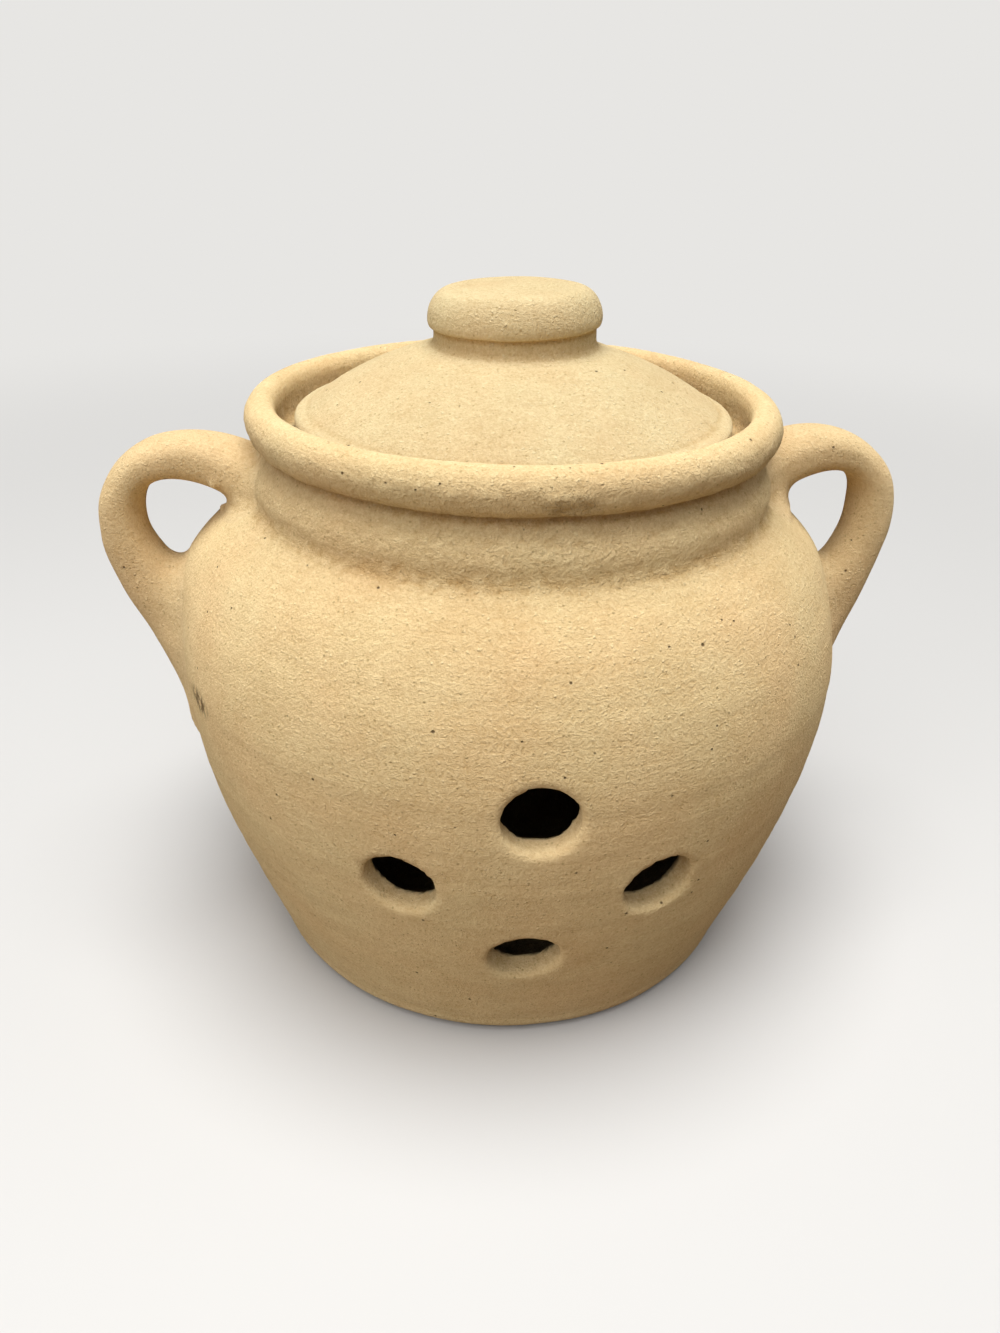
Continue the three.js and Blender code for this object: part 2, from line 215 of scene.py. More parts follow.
BODY_STREAK, HANDLE_STREAK, LID_STREAK, BODY_COARSE = 1.0, 0.35, 0.6, 1.5
BUMP_DEPTH = 0.6
SKIN_ROUGHNESS, SPECULAR, DIFFUSE_ROUGHNESS = (0.84, 0.97), 0.2, 0.5


# The picture

def camera_axes():
    """The camera's directions: across and up the picture, and ahead."""
    right = np.array([math.cos(CAMERA_YAW), -math.sin(CAMERA_YAW), 0])
    level = np.array([math.sin(CAMERA_YAW), math.cos(CAMERA_YAW), 0])
    ahead = math.cos(CAMERA_PITCH) * level - math.sin(CAMERA_PITCH) * np.array([0, 0, 1])
    up = np.cross(right, ahead)
    across = math.cos(CAMERA_ROLL) * right + math.sin(CAMERA_ROLL) * up
    above = math.cos(CAMERA_ROLL) * up - math.sin(CAMERA_ROLL) * right
    return across, above, ahead


def seen_at(field, pixels):
    """The places where the lines of sight through pixels of the picture first meet a field's surface."""
    across, above, ahead = camera_axes()
    shift = (np.array(pixels, float) - (FRAME_WIDTH_PX / 2, FRAME_HEIGHT_PX / 2)) / FOCAL_PX
    ways = ahead + shift[:, :1] * across - shift[:, 1:] * above
    ways /= np.linalg.norm(ways, axis=1)[:, None]
    place = np.array(CAMERA_PLACE) + SIGHT_START * ways
    for _ in range(SIGHT_STEPS):
        place = place + SIGHT_SHARE * field(place)[:, None] * ways
    return place


# Outlines

def arc(x, y, across, up, start, end):
    """An arc of an ellipse around a centre, with its half-axes and the angles where it starts and ends."""
    turn = np.radians(np.linspace(start, end, ARC_STEPS))
    return np.stack([x + across * np.cos(turn), y + up * np.sin(turn)], 1)


def curve(start, end, shares):
    """A cubic curve; its two control points stand off its ends by shares of the distance that it spans."""
    start, end = np.array(start, float), np.array(end, float)
    span = np.linalg.norm(end - start)
    leave, arrive = start + span * np.array(shares[0]), end + span * np.array(shares[1])
    t = np.linspace(0, 1, CURVE_STEPS)[:, None]
    return (1 - t) ** 3 * start + 3 * (1 - t) ** 2 * t * leave + 3 * (1 - t) * t ** 2 * arrive + t ** 3 * end


def through(points):
    """A smooth line through points, the same one that the solids' neck follows."""
    p = np.array([points[0], *points, points[-1]], float)
    t = np.linspace(0, 1, NECK_STEPS, endpoint=False)[:, None]
    parts = []
    for a, b, c, d in zip(p, p[1:], p[2:], p[3:]):
        lift, fall = (c - a) / 2, (d - b) / 2
        cubic = 2 * b - 2 * c + lift + fall
        square = 3 * c - 3 * b - 2 * lift - fall
        parts.append(cubic * t ** 3 + square * t ** 2 + lift * t + b)
    return np.concatenate([*parts, p[-1:]])


def offset(points, distance):
    """A line moved sideways by a distance, to its right where that is positive."""
    along = np.gradient(points, axis=0)
    along /= np.linalg.norm(along, axis=1)[:, None]
    return points + distance * np.stack([along[:, 1], -along[:, 0]], 1)


def side_walls():
    return np.concatenate([
        curve((FOOT_EDGE_R, FOOT_EDGE_Z), (BELLY_R, BELLY_Z), LOWER_WALL_SHARES),
        curve((BELLY_R, BELLY_Z), (SHOULDER_R, SHOULDER_Z), SHOULDER_WALL_SHARES)[1:],
    ])


def pot_outside():
    neck = through([(SHOULDER_R, SHOULDER_Z), (GROOVE_R, GROOVE_Z), (BAND_R, BAND_Z), (CREASE_R, CREASE_Z)])
    return np.concatenate([
        arc(FOOT_R, FOOT_EDGE_Z, FOOT_EDGE_R - FOOT_R, FOOT_EDGE_Z, -90, 0),
        side_walls()[1:],
        neck[1:],
        arc(CREASE_R, RIM_BULGE_Z, RIM_R - CREASE_R, RIM_BULGE_Z - CREASE_Z, -90, 0)[1:],
        arc(RIM_TOP_R, RIM_BULGE_Z, RIM_R - RIM_TOP_R, RIM_TOP_Z - RIM_BULGE_Z, 0, 90)[1:],
    ])


def pot_inside():
    corner_z = FLOOR_THICK + FLOOR_CORNER
    wall = offset(side_walls(), -WALL)
    wall = wall[wall[:, 1] > corner_z][::-1]
    return np.concatenate([
        arc(RIM_TOP_R, RIM_INNER_Z, RIM_TOP_R - GALLERY_R, RIM_TOP_Z - RIM_INNER_Z, 90, 180)[1:],
        arc(GALLERY_R - LEDGE_FILLET, LEDGE_Z + LEDGE_FILLET, LEDGE_FILLET, LEDGE_FILLET, 0, -90),
        arc(MOUTH_R + MOUTH_EDGE, LEDGE_Z - MOUTH_EDGE, MOUTH_EDGE, MOUTH_EDGE, 90, 180),
        [(MOUTH_R, LEDGE_Z - LEDGE_THICK)],
        wall,
        arc(wall[-1, 0] - FLOOR_CORNER, corner_z, FLOOR_CORNER, FLOOR_CORNER, 0, -90),
        [(0, FLOOR_THICK)],
    ])


def dome_line():
    return curve((LID_RIM_R, LID_BOTTOM + LID_RIM_RISE), (DOME_SEAT_R, DOME_TOP), DOME_SHARES)


def lid_outside():
    edge_top = LID_BOTTOM + LID_EDGE_H
    return np.concatenate([
        arc(LID_R - LID_CORNER, LID_BOTTOM + LID_CORNER, LID_CORNER, LID_CORNER, -90, 0),
        arc(LID_RIM_R, edge_top, LID_R - LID_RIM_R, LID_RIM_RISE - LID_EDGE_H, 0, LID_RIM_TURN),
        dome_line()[1:],
        [(0, DOME_TOP)],
    ])


def lid_inside():
    flange_inner = LID_R - FLANGE_W
    under = offset(dome_line(), -LID_THICK)
    under = under[under[:, 0] < flange_inner][::-1]
    return np.concatenate([[(0, DOME_TOP - LID_THICK)], under, [(flange_inner, LID_BOTTOM)]])


def knob_outline():
    low = KNOB_BOTTOM + NECK_H
    top = low + KNOB_H
    return np.concatenate([
        [(0, KNOB_BOTTOM - KNOB_SINK), (NECK_R, KNOB_BOTTOM - KNOB_SINK), (NECK_R, low), (KNOB_LOW_R, low)],
        arc(KNOB_R - KNOB_CORNER, low + KNOB_CHAMFER, KNOB_CORNER, KNOB_H - KNOB_CHAMFER, 0, KNOB_TURN),
        [(0, top + KNOB_CROWN)],
    ])


# Distances

def outline_distance(outline, points):
    """Signed distance from points to a closed outline, negative inside."""
    a = outline
    b = np.roll(outline, -1, 0)
    span = b - a
    length2 = np.maximum((span ** 2).sum(1), LENGTH2_LEAST)
    result = np.empty(len(points))
    for some in np.array_split(np.arange(len(points)), max(1, len(points) // POINTS_AT_ONCE)):
        p = points[some, None]
        t = np.clip(((p - a) * span).sum(2) / length2, 0, 1)
        gap = np.sqrt(((p - a - t[..., None] * span) ** 2).sum(2).min(1))
        rising = (a[:, 1] <= p[..., 1]) & (b[:, 1] > p[..., 1])
        falling = (b[:, 1] <= p[..., 1]) & (a[:, 1] > p[..., 1])
        side = (p[..., 0] - a[:, 0]) * span[:, 1] - (p[..., 1] - a[:, 1]) * span[:, 0]
        winding = (rising & (side < 0)).sum(1) - (falling & (side > 0)).sum(1)
        result[some] = np.where(winding != 0, -gap, gap)
    return result


class Table:
    """Values on a grid in one plane, read back with straight interpolation."""

    def __init__(self, low, high, make):
        self.low = np.array(low, float)
        shape = np.ceil((np.array(high) - self.low) / TABLE_STEP).astype(int) + 2
        axes = [self.low[i] + TABLE_STEP * np.arange(shape[i]) for i in (0, 1)]
        grid = np.stack(np.meshgrid(*axes, indexing="ij"), -1).reshape(-1, 2)
        self.values = make(grid).reshape(*shape, -1)

    def read(self, x, y):
        at = (np.stack([x, y], -1) - self.low) / TABLE_STEP
        cell = np.clip(at.astype(int), 0, np.array(self.values.shape[:2]) - 2)
        s, t = np.clip(at - cell, 0, 1).T[..., None]
        i, j = cell.T
        v = self.values
        near = (1 - t) * v[i, j] + t * v[i, j + 1]
        far = (1 - t) * v[i + 1, j] + t * v[i + 1, j + 1]
        return (1 - s) * near + s * far


def turned(outline):
    """The distance field of an outline turned about the vertical axis."""
    closed = np.concatenate([outline, outline[::-1] * (-1, 1)])
    low = (0, outline[:, 1].min() - SPARE)
    high = (outline[:, 0].max() + 2 * SPARE, outline[:, 1].max() + SPARE)
    table = Table(low, high, lambda p: outline_distance(closed, p))
    return lambda p: table.read(np.hypot(p[:, 0], p[:, 1]), p[:, 2])[:, 0]


def smooth_min(a, b, k):
    return np.minimum(a, b) - np.maximum(k - np.abs(a - b), 0) ** 2 / (4 * k)


def smooth_max(a, b, k):
    return -smooth_min(-a, -b, k)


def smooth_step(low, high, x):
    t = np.clip((x - low) / (high - low), 0, 1)
    return t * t * (3 - 2 * t)


def waves(p, length, count, seed):
    """Soft lumps about length apart, from nearly -1 to 1, the same at every run."""
    rng = np.random.default_rng(seed)
    ways = rng.normal(size=(count, 3))
    stretch = rng.uniform(*WAVE_SPREAD, (count, 1))
    ways *= (2 * np.pi / length) * stretch / np.linalg.norm(ways, axis=1)[:, None]
    phases = rng.uniform(0, 2 * np.pi, count)
    return np.clip(np.sin(p @ ways.T + phases).sum(1) / math.sqrt(count) * WAVE_HEIGHT, -1, 1)


def lumps(p, length, count, seed):
    """The waves brought to 0 to 1, as a share of a depth."""
    return 0.5 + 0.5 * waves(p, length, count, seed)


def relief(p):
    """How far the thrown clay lies below its true outline: rings from the fingers and slow unevenness."""
    turn = np.arctan2(p[:, 0], -p[:, 1])
    climb = p[:, 2] + RING_CLIMB * turn + RING_SWAY * np.sin(SWAY_LOBES * turn + SWAY_START)
    depth = LUMP_DEPTH * lumps(p, LUMP_LENGTH, *LUMP_WAVES)
    depth += DENT_DEPTH * lumps(p * DENT_SQUASH, DENT_LENGTH, *DENT_WAVES)
    for i, (length, deep) in enumerate(zip(RING_LENGTHS, RING_DEPTHS)):
        phase = RING_PHASE * i + RING_RIPPLE * np.sin(RIPPLE_LOBES * turn + i)
        depth += deep * (0.5 + 0.5 * np.sin(2 * np.pi * climb / length + phase))
    return depth


core_distance = turned(np.concatenate([[(0, 0)], pot_outside(), [(0, RIM_TOP_Z)]]))
pot_distance = turned(np.concatenate([[(0, 0)], pot_outside(), pot_inside()]))
lid_distance = turned(np.concatenate([lid_inside(), lid_outside()]))
lid_core_distance = turned(np.concatenate([[(0, LID_BOTTOM)], lid_outside()]))
knob_distance = turned(knob_outline())
outside_line = pot_outside()
torn_place = seen_at(core_distance, [TEAR])[0]


def rough(p):
    """How far the clay is dragged open below the rim, most of all where it has torn."""
    z = p[:, 2]
    starts = smooth_step(ROUGH_LOW, ROUGH_LOW + ROUGH_FADE, z)
    ends = smooth_step(ROUGH_HIGH, ROUGH_HIGH - ROUGH_FADE, z)
    torn = np.exp(-(((p - torn_place) / TEAR_SIZE) ** 2).sum(1))
    return (ROUGH_DEPTH * starts * ends + TEAR_DEPTH * torn) * lumps(p, ROUGH_LENGTH, *ROUGH_WAVES)


def smear(p):
    """Clay that the potter has smeared on the shoulder under each handle."""
    total = 0
    for side, (thick, z, reach) in SMEARS.items():
        tall = smooth_step(0, 1, 1 - np.abs(p[:, 2] - z) / reach)
        wide = np.exp(-(p[:, 1] / SMEAR_HALF_WIDTH) ** 2)
        total = total + thick * tall * wide * (side * p[:, 0] > 0)
    return total


def pot_skin(p):
    """How far the pot's surface lies below its true outline."""
    return relief(p) + rough(p) - smear(p)


def wall_radius(z):
    rising = outside_line[outside_line[:, 1] < SHOULDER_Z]
    return np.interp(z, rising[:, 1], rising[:, 0])


def vent_axes():
    """Each vent's centre on the wall and its outward direction."""
    for aside, up in ((0, VENT_RISE), (VENT_SPREAD, 0), (0, -VENT_RISE), (-VENT_SPREAD, 0)):
        across = aside * math.cos(VENT_LEAN) + up * math.sin(VENT_LEAN)
        rise = up * math.cos(VENT_LEAN) - aside * math.sin(VENT_LEAN)
        z = VENT_CENTRE_Z + rise
        radius = wall_radius(z)
        lean = math.atan2(radius - wall_radius(z - VENT_R), VENT_R)
        turn = across / BELLY_R + VENT_TURN
        centre = (radius * math.sin(turn), -radius * math.cos(turn), z)
        way = (math.cos(lean) * math.sin(turn), -math.cos(lean) * math.cos(turn), -math.sin(lean))
        yield np.array(centre), np.array(way)


VENTS = list(vent_axes())


def vent_distance(p):
    """Distance to the vents: round where they open, and flattened by the knife towards the inside."""
    rng = np.random.default_rng(CUT_SEED)
    nearest = np.full(len(p), np.inf)
    for centre, way in VENTS:
        across = np.cross((0, 0, 1), way)
        across /= np.linalg.norm(across)
        along = (p - centre) @ way
        flat = p - centre - along[:, None] * way
        depth = np.clip(-along / WALL, 0, 1)
        size = VENT_R * (CUT_OUTER_SHARE + (CUT_INNER_SHARE - CUT_OUTER_SHARE) * depth)
        uneven = rng.uniform(-CUT_JITTER, CUT_JITTER, KNIFE_CUTS) + rng.uniform()
        turn = 2 * np.pi * (np.arange(KNIFE_CUTS) + uneven) / KNIFE_CUTS
        cuts = np.cos(turn)[:, None] * across + np.sin(turn)[:, None] * np.cross(way, across)
        hole = np.maximum(np.linalg.norm(flat, axis=1) - VENT_R, (flat @ cuts.T).max(1) - size)
        nearest = np.minimum(nearest, np.maximum(hole, np.abs(along) - WALL - VENT_OVERRUN))
    return nearest


def pot_field(p):
    skin = pot_skin(p)
    rounded = smooth_max(core_distance(p) + skin, -vent_distance(p), VENT_EDGE)
    return np.maximum(rounded, pot_distance(p) + skin)


def handle_outlines(side):
    """A handle's outer and inner line in the upright plane, each from its root on the neck to its tail."""
    crease = CREASE_Z + LIFTS[side]
    root_r = BAND_R - ROOT_SINK
    reach = BELLY_R + STANDOFFS[side]
    tail_z = BELLY_Z - TAIL_DROPS[side]
    tail_r = wall_radius(tail_z) - TAIL_SINK
    ends = (
        ((root_r, crease - ROOT_DROP), (reach, crease - REACH_DROP), (tail_r, tail_z)),
        ((root_r, crease - ROOT_DROP - ROOT_DEPTH), (reach - THICKNESSES[side], crease - LOOP_DROP),
         (tail_r - TAIL_DEPTH, tail_z + TAIL_RISE)),
    )
    shares = ((OUTER_RISE_SHARES, OUTER_FALL_SHARES), (INNER_RISE_SHARES, INNER_FALL_SHARES))
    return [np.concatenate([curve(root, far, rise), curve(far, tail, fall)[1:]])
            for (root, far, tail), (rise, fall) in zip(ends, shares)]


def handle_table(side):
    """In the upright plane: distance to the handle's outline, and its half-thickness and half-width there."""
    outer, inner = handle_outlines(side)
    deep = np.array([(-ROOT_OVERRUN, 0)])
    closed = np.concatenate([outer[:1] + deep, outer, inner[::-1], inner[:1] + deep])
    middle = (outer + inner) / 2
    half = np.maximum(-outline_distance(closed, middle), HALF_LEAST)
    place = np.linspace(0, 1, len(middle))
    root = np.maximum(0, 1 - place / ROOT_FLARE_SHARE) ** 2
    tail = np.maximum(0, 1 - (1 - place) / TAIL_FLARE_SHARE) ** 2
    width = (HANDLE_W + (ROOT_W - HANDLE_W) * root + (TAIL_W - HANDLE_W) * tail) / 2

    def make(p):
        near = ((p[:, None] - middle) ** 2).sum(2)
        weight = np.exp(-(near - near.min(1)[:, None]) / NEAR_BLEND)
        weight /= weight.sum(1)[:, None]
        return np.stack([outline_distance(closed, p), weight @ half, weight @ width], 1)

    return Table(*HANDLE_PLANE, make)


HANDLE_TABLES = {side: handle_table(side) for side in (-1, 1)}


def handle_distance(p, side):
    """Roughly the distance to a handle's rounded strap; side is 1 for the right one and -1 for the left."""
    gap, half, width = HANDLE_TABLES[side].read(side * p[:, 0], p[:, 2]).T
    n = HANDLE_SQUARENESS
    a = np.maximum(gap + half, TINY) / half
    b = np.maximum(np.abs(p[:, 1]), TINY) / width
    size = (a ** n + b ** n) ** (1 / n)
    slope = np.hypot((a / size) ** (n - 1) / half, (b / size) ** (n - 1) / width)
    return np.maximum((size - 1) / slope, np.abs(p[:, 1]) - width)


def strap_field(side):
    """A handle's strap and its blend into the pot, which is sunk at its edge and hollowed under the skin."""
    def field(p):
        core = core_distance(p) + pot_skin(p)
        strap = handle_distance(p, side)
        k = np.interp(p[:, 2], FILLET_HEIGHTS, FILLETS[side])
        own = 1 - smooth_step(0, 1, strap / k)
        pulled = own * PULL_DEPTH * lumps(p, PULL_LENGTH, PULL_WAVES, PULL_SEED + side)
        joined = smooth_min(core, strap, k) + pulled
        sunk = joined + EDGE_SINK * smooth_step(EDGE_SHARE, 1, strap / k)
        return np.maximum(smooth_max(sunk, strap - k, EDGE_ROUND), -core - SKIN_DEPTH)
    return field


def handle_field(side):
    """A handle with the crumbs of clay that its joint has squeezed out."""
    strap = strap_field(side)
    pixels = [crumb[:2] for crumb in CRUMBS[side]]
    places = seen_at(strap, pixels) if pixels else []

    def field(p):
        result = strap(p)
        for place, (_, _, size) in zip(places, CRUMBS[side]):
            result = smooth_min(result, np.linalg.norm(p - place, axis=1) - size, CRUMB_BLEND)
        return result
    return field


def lid_field(p):
    return lid_distance(p) + LID_RELIEF_SHARE * relief(p)


def knob_field(p):
    across, along = math.cos(KNOB_TILT), math.sin(KNOB_TILT)
    lean = np.array([[across, 0, along], [0, 1, 0], [-along, 0, across]])
    foot = np.array([0, 0, KNOB_BOTTOM])
    base = lid_core_distance(p) + LID_RELIEF_SHARE * relief(p)
    own = knob_distance((p - foot) @ lean + foot) + KNOB_RELIEF_SHARE * relief(p)
    joined = smooth_min(base, own, KNOB_FILLET)
    return np.maximum(np.maximum(joined, own - KNOB_FILLET), -base - SKIN_DEPTH)


# Meshes

def ticks(ends, steps):
    """Places along an axis: each stretch between two ends has a step of its own."""
    parts = [np.linspace(a, b, math.ceil((b - a) / step), endpoint=False)
             for a, b, step in zip(ends, ends[1:], steps)]
    return np.append(np.concatenate(parts), ends[-1])


def even_axes(ends, step):
    """The same step all along each axis."""
    return [(pair, (step,)) for pair in ends]


def shell(field, axes):
    """A closed quad mesh of a field's zero surface: one vertex in each grid cell that the surface crosses."""
    grid = np.stack(np.meshgrid(*axes, indexing="ij"), -1)
    parts = np.array_split(grid.reshape(-1, 3), GRID_PARTS)
    value = np.concatenate([field(part) for part in parts]).reshape(grid.shape[:3])
    cells = np.array(value.shape) - 1
    total = np.zeros((*cells, 3))
    count = np.zeros(cells)
    for axis in range(3):
        one, two = (axis + 1) % 3, (axis + 2) % 3
        for i in (0, 1):
            for j in (0, 1):
                start = np.zeros(3, int)
                start[one], start[two] = i, j
                near = tuple(slice(s, s + n) for s, n in zip(start, cells))
                start[axis] = 1
                far = tuple(slice(s, s + n) for s, n in zip(start, cells))
                a, b = value[near], value[far]
                crossed = (a < 0) != (b < 0)
                total[..., axis] += np.where(crossed, a / np.where(crossed, a - b, 1), 0)
                total[..., one] += i * crossed
                total[..., two] += j * crossed
                count += crossed
    active = count > 0
    number = np.full(cells, -1)
    number[active] = np.arange(active.sum())
    at_cell = np.argwhere(active) + total[active] / count[active][:, None]
    places = np.stack([np.interp(at_cell[:, i], np.arange(len(axes[i])), axes[i]) for i in range(3)], 1)
    quads = []
    for axis in range(3):
        one, two = (axis + 1) % 3, (axis + 2) % 3
        inside = value < 0
        a = inside.take(range(0, cells[axis]), axis)
        b = inside.take(range(1, cells[axis] + 1), axis)
        at = np.argwhere(a != b)
        at = at[(at[:, one] > 0) & (at[:, two] > 0) & (at[:, one] < cells[one]) & (at[:, two] < cells[two])]
        outward = a[tuple(at.T)]
        corners = []
        for i, j in ((-1, -1), (0, -1), (0, 0), (-1, 0)):
            corner = at.copy()
            corner[:, one] += i
            corner[:, two] += j
            corners.append(number[tuple(corner.T)])
        quad = np.stack(corners, 1)
        quad[~outward] = quad[~outward][:, ::-1]
        quads.append(quad)
    return places, np.concatenate(quads)


def slopes(field, p):
    steps = SLOPE_REACH * np.eye(3)
    return np.stack([(field(p + s) - field(p - s)) / (2 * SLOPE_REACH) for s in steps], 1)


def settle(field, p, quads):
    """Evens the vertices out along the surface, and puts them back onto it."""
    edges = np.concatenate([quads[:, [i, (i + 1) % 4]] for i in range(4)])
    edges = np.unique(np.sort(edges, 1), axis=0)
    degree = np.bincount(edges.ravel(), minlength=len(p))[:, None]
    for i in range(SETTLE_ROUNDS):
        slope = slopes(field, p)
        length2 = np.maximum((slope ** 2).sum(1), SLOPE2_LEAST)[:, None]
        p = p - np.clip(field(p)[:, None] * slope / length2, -SETTLE_REACH, SETTLE_REACH)
        if i < SETTLE_ROUNDS - 2:
            mean = np.zeros_like(p)
            for a, b in ((0, 1), (1, 0)):
                for axis in range(3):
                    mean[:, axis] += np.bincount(edges[:, a], p[edges[:, b], axis], len(p))
            pull = mean / degree - p
            normal = slope / np.sqrt(length2)
            p = p + SETTLE_SHARE * (pull - (pull * normal).sum(1)[:, None] * normal)
    return p


def bend(field, p):
    """How sharply the surface bends at points: 1 on a tight outer edge, -1 in a tight inner corner."""
    total = -6 * field(p)
    for s in BEND_REACH * np.eye(3):
        total += field(p + s) + field(p - s)
    return np.clip(total / BEND_REACH ** 2 / FULL_BEND, -1, 1)


def store_painted_shade(p):
    """Where the clay lies inside the pot: 0 on its outer face, 1 in the store, where painted shade darkens
    the clay.
    """
    return smooth_step(WALL - STORE_START, WALL - STORE_END, -core_distance(p))


def clay_piece(name, field, axes, material, store_painted_shade_of=None):
    """A field's mesh as an object of the scene; its bends (worn edges, painted corner shade) and store's
    painted shade are attributes.
    """
    places, quads = shell(field, [ticks(*axis) for axis in axes])
    places = settle(field, places, quads)
    mesh = bpy.data.meshes.new(name)
    mesh.vertices.add(len(places))
    mesh.vertices.foreach_set("co", (places * MM).astype(np.float32).ravel())
    mesh.loops.add(4 * len(quads))
    mesh.loops.foreach_set("vertex_index", quads.ravel())
    mesh.polygons.add(len(quads))
    mesh.polygons.foreach_set("loop_start", np.arange(0, 4 * len(quads), 4))
    mesh.update(calc_edges=True)
    mesh.validate()
    mesh.polygons.foreach_set("use_smooth", np.ones(len(mesh.polygons), bool))
    # How the surface bends: worn outer edges are lightened, inner corners get painted shade
    edge_wear_and_corner_shade = mesh.attributes.new("edge_wear_and_corner_shade", "FLOAT", "POINT")
    edge_wear_and_corner_shade.data.foreach_set("value", bend(field, places).astype(np.float32))
    # Painted shade of the store, kept as an attribute
    if store_painted_shade_of:
        store_shade_attribute = mesh.attributes.new("store_painted_shade", "FLOAT", "POINT")
        store_shade_attribute.data.foreach_set("value", store_painted_shade_of(places).astype(np.float32))
    mesh.materials.append(material)
    piece = bpy.data.objects.new(name, mesh)
    bpy.context.scene.collection.objects.link(piece)
    return piece


# Materials

class Graph:
    """A short way to write a material's nodes: iN names an input by its number."""

    def __init__(self, name):
        self.material = bpy.data.materials.new(name)
        self.material.use_nodes = True
        self.tree = self.material.node_tree
        self.tree.nodes.clear()

    def add(self, kind, settings=None, **inputs):
        node = self.tree.nodes.new(kind)
        for key, value in (settings or {}).items():
            setattr(node, key, value)
        for key, value in inputs.items():
            by_number = key[0] == "i" and key[1:].isdigit()
            socket = node.inputs[int(key[1:]) if by_number else key.replace("_", " ")]
            if isinstance(value, bpy.types.NodeSocket):
                self.tree.links.new(value, socket)
            else:
                socket.default_value = value
        return node

    def math(self, kind, a, b):
        return self.add("ShaderNodeMath", {"operation": kind}, i0=a, i1=b).outputs[0]

    def times(self, a, b):
        return self.math("MULTIPLY", a, b)

    def vector(self, kind, a, b):
        return self.add("ShaderNodeVectorMath", {"operation": kind}, i0=a, i1=b).outputs[0]

    def scaled(self, a, share):
        return self.add("ShaderNodeVectorMath", {"operation": "SCALE"}, i0=a, Scale=share).outputs[0]

    def stretch(self, at, shares):
        return self.add("ShaderNodeMapping", None, Vector=at, Scale=shares).outputs[0]

    def mix(self, share, first, second):
        return self.add("ShaderNodeMix", {"data_type": "RGBA"}, Factor=share, i6=first, i7=second).outputs[2]

    def span(self, value, low, high, to_low=0.0, to_high=1.0, smooth=False):
        kind = "SMOOTHSTEP" if smooth else "LINEAR"
        return self.add("ShaderNodeMapRange", {"interpolation_type": kind}, i0=value, i1=low, i2=high,
                        i3=to_low, i4=to_high).outputs[0]

    def noise(self, at, scale, detail, roughness):
        kind = "ShaderNodeTexNoise"
        return self.add(kind, None, Vector=at, Scale=scale, Detail=detail, Roughness=roughness).outputs[0]

    def attribute(self, name):
        return self.add("ShaderNodeAttribute", {"attribute_name": name}).outputs["Fac"]

    def total(self, terms):
        result = terms[0]
        for term in terms[1:]:
            result = self.math("ADD", result, term)
        return result


def around(g, at, place, inner, outer):
    """1 within one distance of a place and 0 beyond another, in millimetres."""
    gap = g.add("ShaderNodeVectorMath", {"operation": "DISTANCE"}, i0=at, i1=place).outputs["Value"]
    return g.span(gap, inner, outer, 1.0, 0.0, smooth=True)


def stretched(g, at, place, size, inner, outer):
    """The same around a place, with a size of its own along each axis."""
    return around(g, g.vector("DIVIDE", at, size), tuple(a / b for a, b in zip(place, size)), inner, outer)


def clay_patterns(g, at, pits):
    """The marks of the clay, from 0 to 1: soft patches, grains, drag marks, grit, iron specks and pits."""
    marks = {name: g.noise(at, *noise) for name, noise in NOISES.items()}
    marks["drag"] = g.noise(g.stretch(at, DRAG_STRETCH), *DRAG_NOISE)
    short = g.noise(g.stretch(at, DASH_STRETCH), *DASH_NOISE)
    marks["dash"] = g.times(g.span(short, *DASH_RANGE), g.span(marks["patch"], *DASH_PATCHES))
    grit = g.add("ShaderNodeTexVoronoi", None, Vector=at, Scale=GRIT_SCALE)
    grit_on = g.span(grit.outputs["Distance"], *GRIT_SIZES, 1.0, 0.0)
    pick = g.add("ShaderNodeSeparateColor", None, i0=grit.outputs["Color"])
    marks["dark"] = g.times(grit_on, g.span(pick.outputs[0], *DARK_PICK))
    marks["light"] = g.times(grit_on, g.span(pick.outputs[1], *LIGHT_PICK))
    iron = g.add("ShaderNodeTexVoronoi", None, Vector=at, Scale=IRON_SCALE)
    iron_pick = g.add("ShaderNodeSeparateColor", None, i0=iron.outputs["Color"])
    iron_on = g.span(iron.outputs["Distance"], *IRON_SIZES, 1.0, 0.0)
    speck = g.times(iron_on, g.span(iron_pick.outputs[2], *IRON_PICK))
    for place, size in pits:
        speck = g.math("MAXIMUM", speck, around(g, at, place, PIT_INNER * size, PIT_OUTER * size))
    marks["speck"] = speck
    return marks


